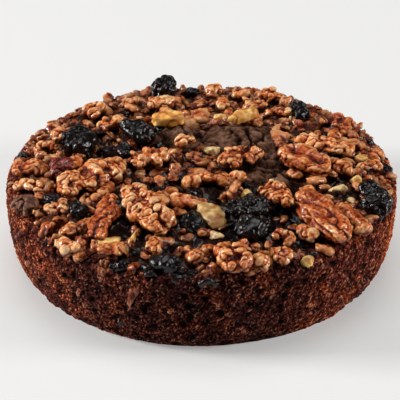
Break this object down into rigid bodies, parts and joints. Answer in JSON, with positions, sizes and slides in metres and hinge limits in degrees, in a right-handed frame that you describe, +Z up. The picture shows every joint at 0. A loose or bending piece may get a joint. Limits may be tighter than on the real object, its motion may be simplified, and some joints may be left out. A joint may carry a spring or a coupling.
{
  "type": "fruit cake",
  "caption": "Round uncut fruit cake with a porous dark crumb wall, its slightly domed top packed with walnut halves, broken nuts, pale nut chips and glossy dark fruit.",
  "frame": {"origin": "centre of the flat base, on the surface the cake stands on", "axes": "+Z up out of the top; -Y is the side shown to the front, +X its right-hand side"},
  "size_m": [0.1586, 0.1601, 0.0471],
  "materials": {
    "cake_crumb": "dark red-brown baked crumb, matte and porous",
    "walnut": "baked walnut skin, orange-brown to tan with a light glaze",
    "pale_nut": "cut nut flesh, cream to golden",
    "dark_fruit": "near-black dried fruit, glossy and wrinkled",
    "red_fruit": "dark red shrunken cherry, glossy"
  },
  "bodies": {
    "root": {"cake": "cake_crumb", "cherry_01": "red_fruit", "nut_chip_01": "pale_nut", "nut_chip_02": "pale_nut", "nut_chip_03": "pale_nut", "prune_01": "dark_fruit", "prune_02": "dark_fruit", "prune_03": "dark_fruit", "prune_04": "dark_fruit", "prune_05": "dark_fruit", "prune_06": "dark_fruit", "prune_07": "dark_fruit", "raisin_01": "dark_fruit", "raisin_02": "dark_fruit", "raisin_03": "dark_fruit", "raisin_04": "dark_fruit", "walnut_half_01": "walnut", "walnut_half_02": "walnut", "walnut_half_03": "walnut", "walnut_half_04": "walnut", "walnut_half_05": "walnut", "walnut_half_06": "walnut", "walnut_half_07": "walnut", "walnut_half_08": "walnut", "walnut_half_09": "walnut", "walnut_half_10": "walnut", "walnut_inner_01": "walnut", "walnut_inner_02": "walnut", "walnut_piece_01": "walnut", "walnut_piece_02": "walnut", "walnut_piece_03": "walnut", "walnut_piece_04": "walnut", "walnut_piece_05": "walnut", "walnut_piece_06": "walnut", "walnut_piece_07": "walnut", "walnut_piece_08": "walnut", "walnut_piece_09": "walnut", "walnut_piece_10": "walnut", "walnut_piece_11": "walnut", "walnut_piece_12": "walnut", "walnut_piece_13": "walnut", "walnut_piece_14": "walnut", "walnut_piece_15": "walnut", "walnut_piece_16": "walnut", "walnut_piece_17": "walnut", "walnut_piece_18": "walnut", "walnut_piece_19": "walnut", "walnut_piece_20": "walnut", "walnut_piece_21": "walnut", "walnut_quarter_01": "walnut", "walnut_quarter_02": "walnut", "walnut_quarter_03": "walnut", "walnut_quarter_04": "walnut", "walnut_quarter_05": "walnut", "walnut_quarter_06": "walnut", "walnut_quarter_07": "walnut", "walnut_quarter_08": "walnut", "walnut_quarter_09": "walnut", "walnut_quarter_10": "walnut"}
  },
  "joints": []
}
